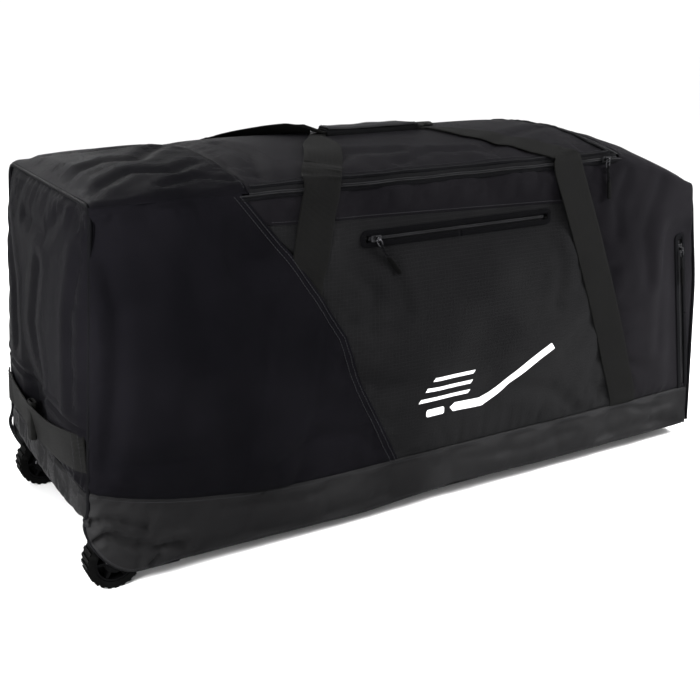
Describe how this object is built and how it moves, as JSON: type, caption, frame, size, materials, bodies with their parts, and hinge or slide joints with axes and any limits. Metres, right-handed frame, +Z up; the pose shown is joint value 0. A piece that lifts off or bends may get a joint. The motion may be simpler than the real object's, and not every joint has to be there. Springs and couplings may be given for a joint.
{
  "type": "hockey equipment bag",
  "caption": "Long soft wheeled equipment bag with a U-zipped lid, zipped pockets, webbing carry handles, end handles and wheels at one end.",
  "frame": {"origin": "on the floor under the centre of the bag's outline", "axes": "+X along the bag towards the plain end, wheels at -X; -Y is the front with the pocket; +Z up"},
  "size_m": [1.0581, 0.3998, 0.5261],
  "materials": {
    "coated": "coated heavy fabric, soft sheen",
    "board": "matt stiffener sheet",
    "lining": "plain lining cloth",
    "fabric": "fine polyester weave",
    "ripstop": "ripstop weave",
    "print": "screen print",
    "webbing": "ribbed webbing",
    "zip_tape": "zip tape and coil",
    "slider_metal": "black coated die-cast",
    "pull": "cord with moulded end",
    "grip": "brushed padded cloth",
    "housing": "moulded, satin",
    "steel": "zinc plated",
    "tyre": "hard rubber",
    "rim": "moulded, slightly glossy",
    "foot": "moulded rubber"
  },
  "bodies": {
    "shell": {"bottom_panel": "coated", "base_board": "board", "front_band": "coated", "rear_band": "coated", "wheel_end_band": "coated", "plain_end_band": "coated", "front_lining": "lining", "rear_wall": "fabric", "wheel_end_panel": "fabric", "plain_end_panel": "fabric", "end_pocket_divider": "lining", "front_wing_panel": "fabric", "front_pocket_panel": "ripstop", "front_upper_panel": "fabric", "front_end_panel": "fabric", "front_print": "print", "top_panel": "fabric", "shoulder_panel": "fabric", "front_straps": "webbing", "rear_straps": "webbing", "wheel_end_piping": "fabric", "plain_end_piping": "fabric", "pocket_zip_tape": "zip_tape", "end_zip_tape": "zip_tape", "lid_zip_tape": "zip_tape", "front_wheel_housing": "housing", "front_axle": "steel", "front_axle_nut": "steel", "rear_wheel_housing": "housing", "rear_axle": "steel", "rear_axle_nut": "steel", "housing_rivets": "steel", "feet": "foot"},
    "lid": {"lid_panel": "fabric", "lid_zip_edge": "zip_tape", "lid_binding": "fabric"},
    "pocket_slider": {"pocket_zip_slider": "slider_metal"},
    "pocket_pull": {"pocket_zip_pull": "pull"},
    "end_slider": {"end_zip_slider": "slider_metal"},
    "end_pull": {"end_zip_pull": "pull"},
    "lid_slider": {"lid_zip_slider": "slider_metal"},
    "lid_pull": {"lid_zip_pull": "pull"},
    "front_handle": {"front_handle_webbing": "webbing", "grip_wrap": "grip"},
    "grip_flap": {"grip_flap": "grip"},
    "rear_handle": {"rear_handle_webbing": "webbing"},
    "grab_handle": {"grab_handle_webbing": "webbing", "grab_handle_roll": "webbing"},
    "tow_handle": {"tow_handle_webbing": "webbing", "tow_handle_sleeve": "grip"},
    "front_wheel": {"front_tyre": "tyre", "front_rim": "rim", "front_bearings": "steel"},
    "rear_wheel": {"rear_tyre": "tyre", "rear_rim": "rim", "rear_bearings": "steel"}
  },
  "joints": [
    {"name": "lid_swing", "type": "hinge", "parent": "shell", "child": "lid", "pos_m": [-0.281, 0, 0.5098], "axis": [0, -1, 0], "range_deg": [0, 110], "deforming": ["front_handle_webbing", "rear_handle_webbing", "grip_wrap", "grip_flap"]},
    {"name": "front_handle_swing", "type": "hinge", "parent": "shell", "child": "front_handle", "pos_m": [0, -0.1918, 0.486], "axis": [1, 0, 0], "range_deg": [0, 250]},
    {"name": "rear_handle_swing", "type": "hinge", "parent": "shell", "child": "rear_handle", "pos_m": [0, 0.1918, 0.486], "axis": [-1, 0, 0], "range_deg": [0, 250]},
    {"name": "grip_flap_swing", "type": "hinge", "parent": "front_handle", "child": "grip_flap", "pos_m": [0, -0.0158, 0.5247], "axis": [1, 0, 0], "range_deg": [0, 150]},
    {"name": "grab_handle_swing", "type": "hinge", "parent": "shell", "child": "grab_handle", "pos_m": [-0.49637, 0, 0.187], "axis": [0, 1, 0], "range_deg": [0, 60], "deforming": ["grab_handle_webbing"]},
    {"name": "tow_handle_swing", "type": "hinge", "parent": "shell", "child": "tow_handle", "pos_m": [0.49708, 0, 0.3], "axis": [0, -1, 0], "range_deg": [0, 60], "deforming": ["tow_handle_webbing"]},
    {"name": "pocket_slider_slide", "type": "slide", "parent": "shell", "child": "pocket_slider", "axis": [1, 0, 0], "range_m": [0, 0.265]},
    {"name": "pocket_pull_swing", "type": "hinge", "parent": "pocket_slider", "child": "pocket_pull", "pos_m": [-0.102, -0.1926, 0.402], "axis": [-0.848, 0, -0.5299], "range_deg": [0, 120]},
    {"name": "end_slider_slide", "type": "slide", "parent": "shell", "child": "end_slider", "axis": [0.1351, 0, -0.9908], "range_m": [0, 0.219]},
    {"name": "end_pull_swing", "type": "hinge", "parent": "end_slider", "child": "end_pull", "pos_m": [0.45865, -0.1926, 0.3219], "axis": [-0.9908, 0, -0.1351], "range_deg": [0, 120]},
    {"name": "lid_slider_slide", "type": "slide", "parent": "shell", "child": "lid_slider", "axis": [-1, 0, 0], "range_m": [0, 0.56]},
    {"name": "lid_pull_swing", "type": "hinge", "parent": "lid_slider", "child": "lid_pull", "pos_m": [0.29, -0.194, 0.476], "axis": [-1, 0, 0], "range_deg": [0, 120]},
    {"name": "front_wheel_spin", "type": "hinge", "parent": "shell", "child": "front_wheel", "pos_m": [-0.47, -0.17, 0.035], "axis": [0, 1, 0], "continuous": true},
    {"name": "rear_wheel_spin", "type": "hinge", "parent": "shell", "child": "rear_wheel", "pos_m": [-0.47, 0.17, 0.035], "axis": [0, 1, 0], "continuous": true}
  ]
}
